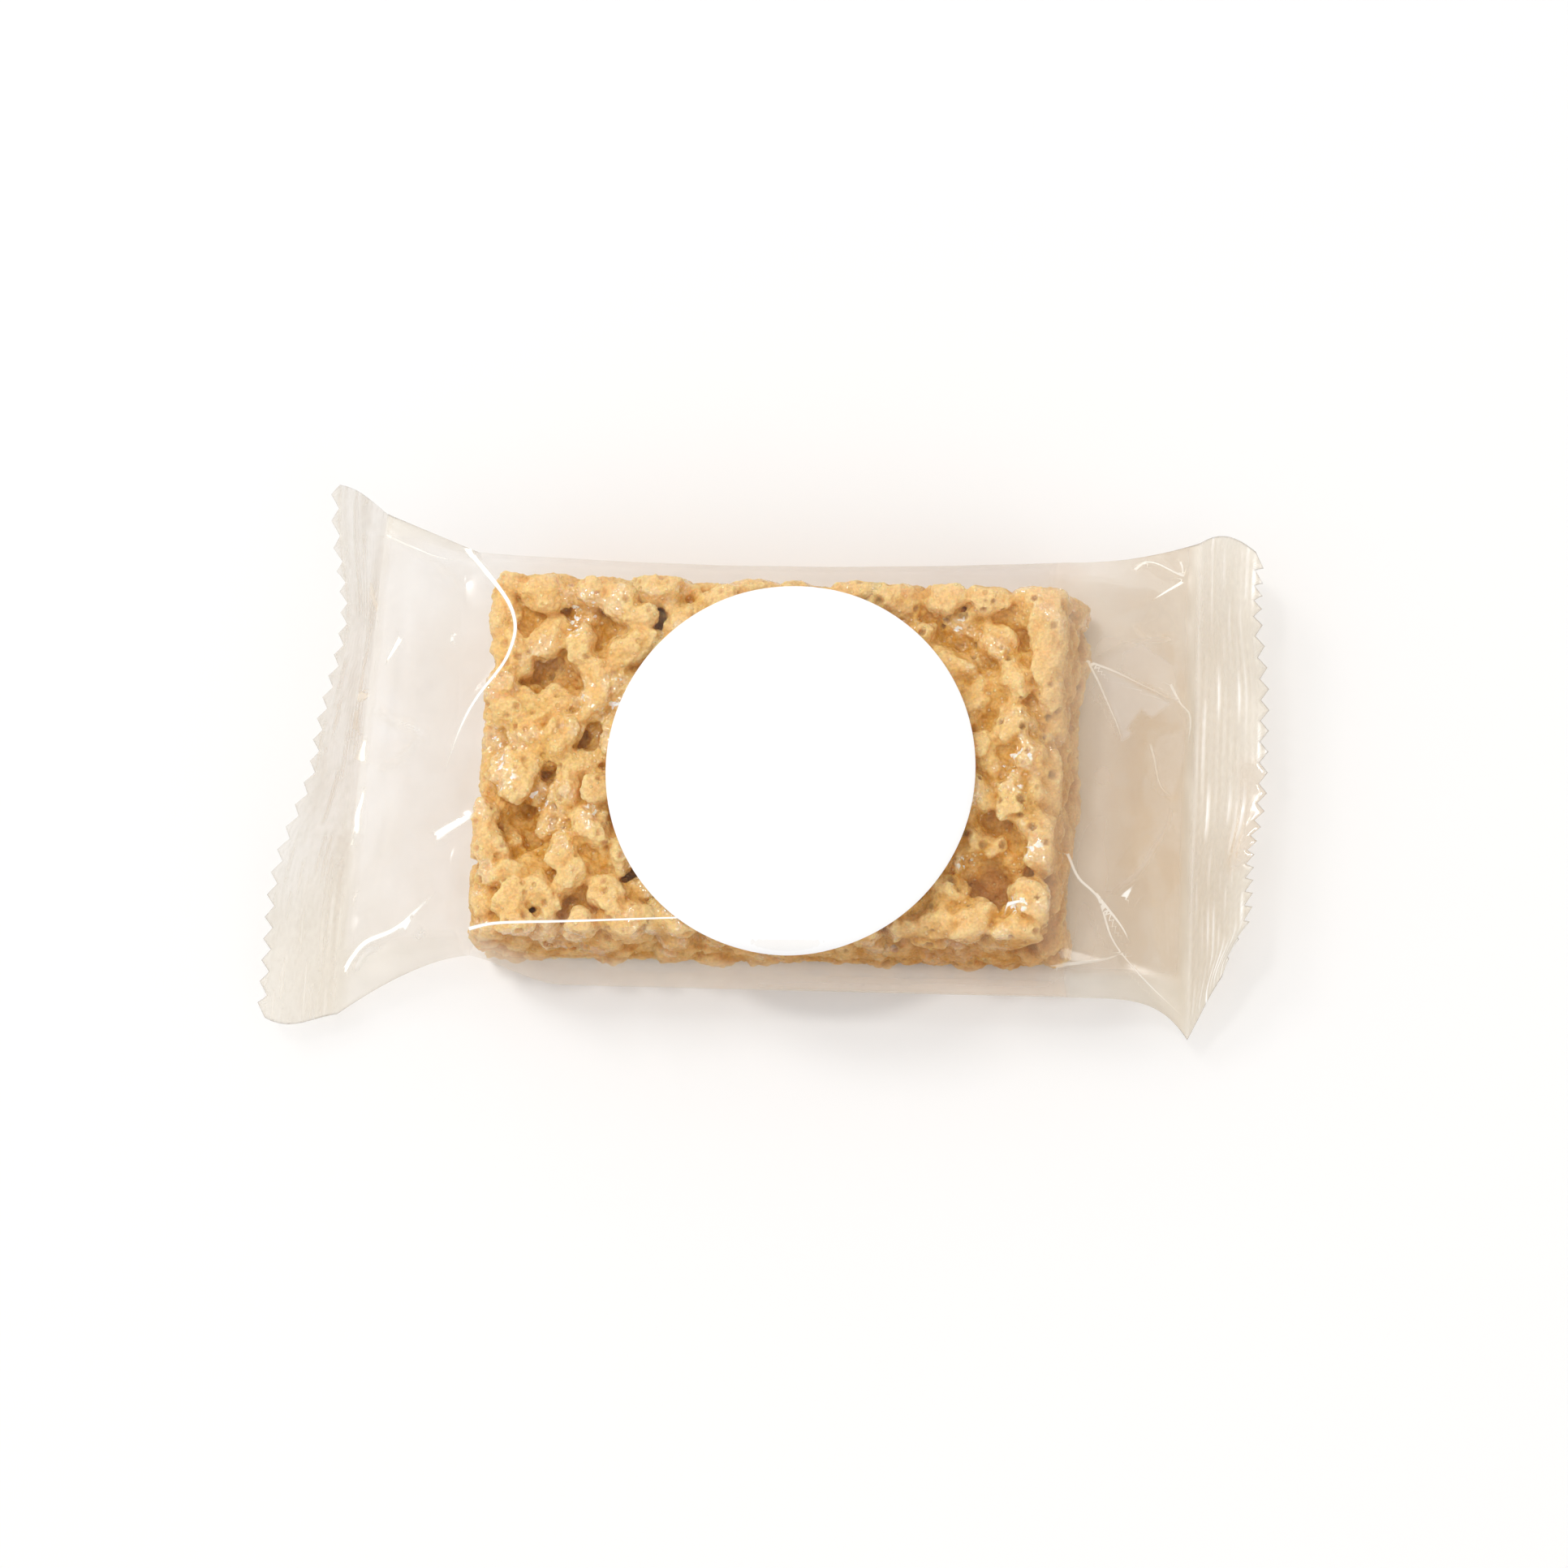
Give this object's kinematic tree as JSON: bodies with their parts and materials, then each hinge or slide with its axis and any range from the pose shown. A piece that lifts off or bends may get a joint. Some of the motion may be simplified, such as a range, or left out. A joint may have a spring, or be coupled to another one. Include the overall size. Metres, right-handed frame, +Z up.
{
  "type": "wrapped puffed rice treat",
  "caption": "Clear flow-wrap pillow pack around a flat puffed rice and marshmallow treat, with crimped zig-zag end fins and a plain round label on top.",
  "frame": {"origin": "middle of the pack's bounding box, on the surface it lies on", "axes": "+X along the pack, +Y to its back long side, +Z up, label on top"},
  "size_m": [0.1062, 0.0574, 0.0151],
  "materials": {
    "film": "thin clear glossy wrapping film with a faint warm haze, crimped at both ends",
    "paper": "plain white matt paper label",
    "rice": "toasted puffed rice, crinkled and pored, lightly glazed with marshmallow",
    "marshmallow": "glossy set marshmallow and butter that binds the rice, amber in the gaps"
  },
  "bodies": {
    "root": {"wrapper": "film", "label": "paper"}
  },
  "joints": []
}
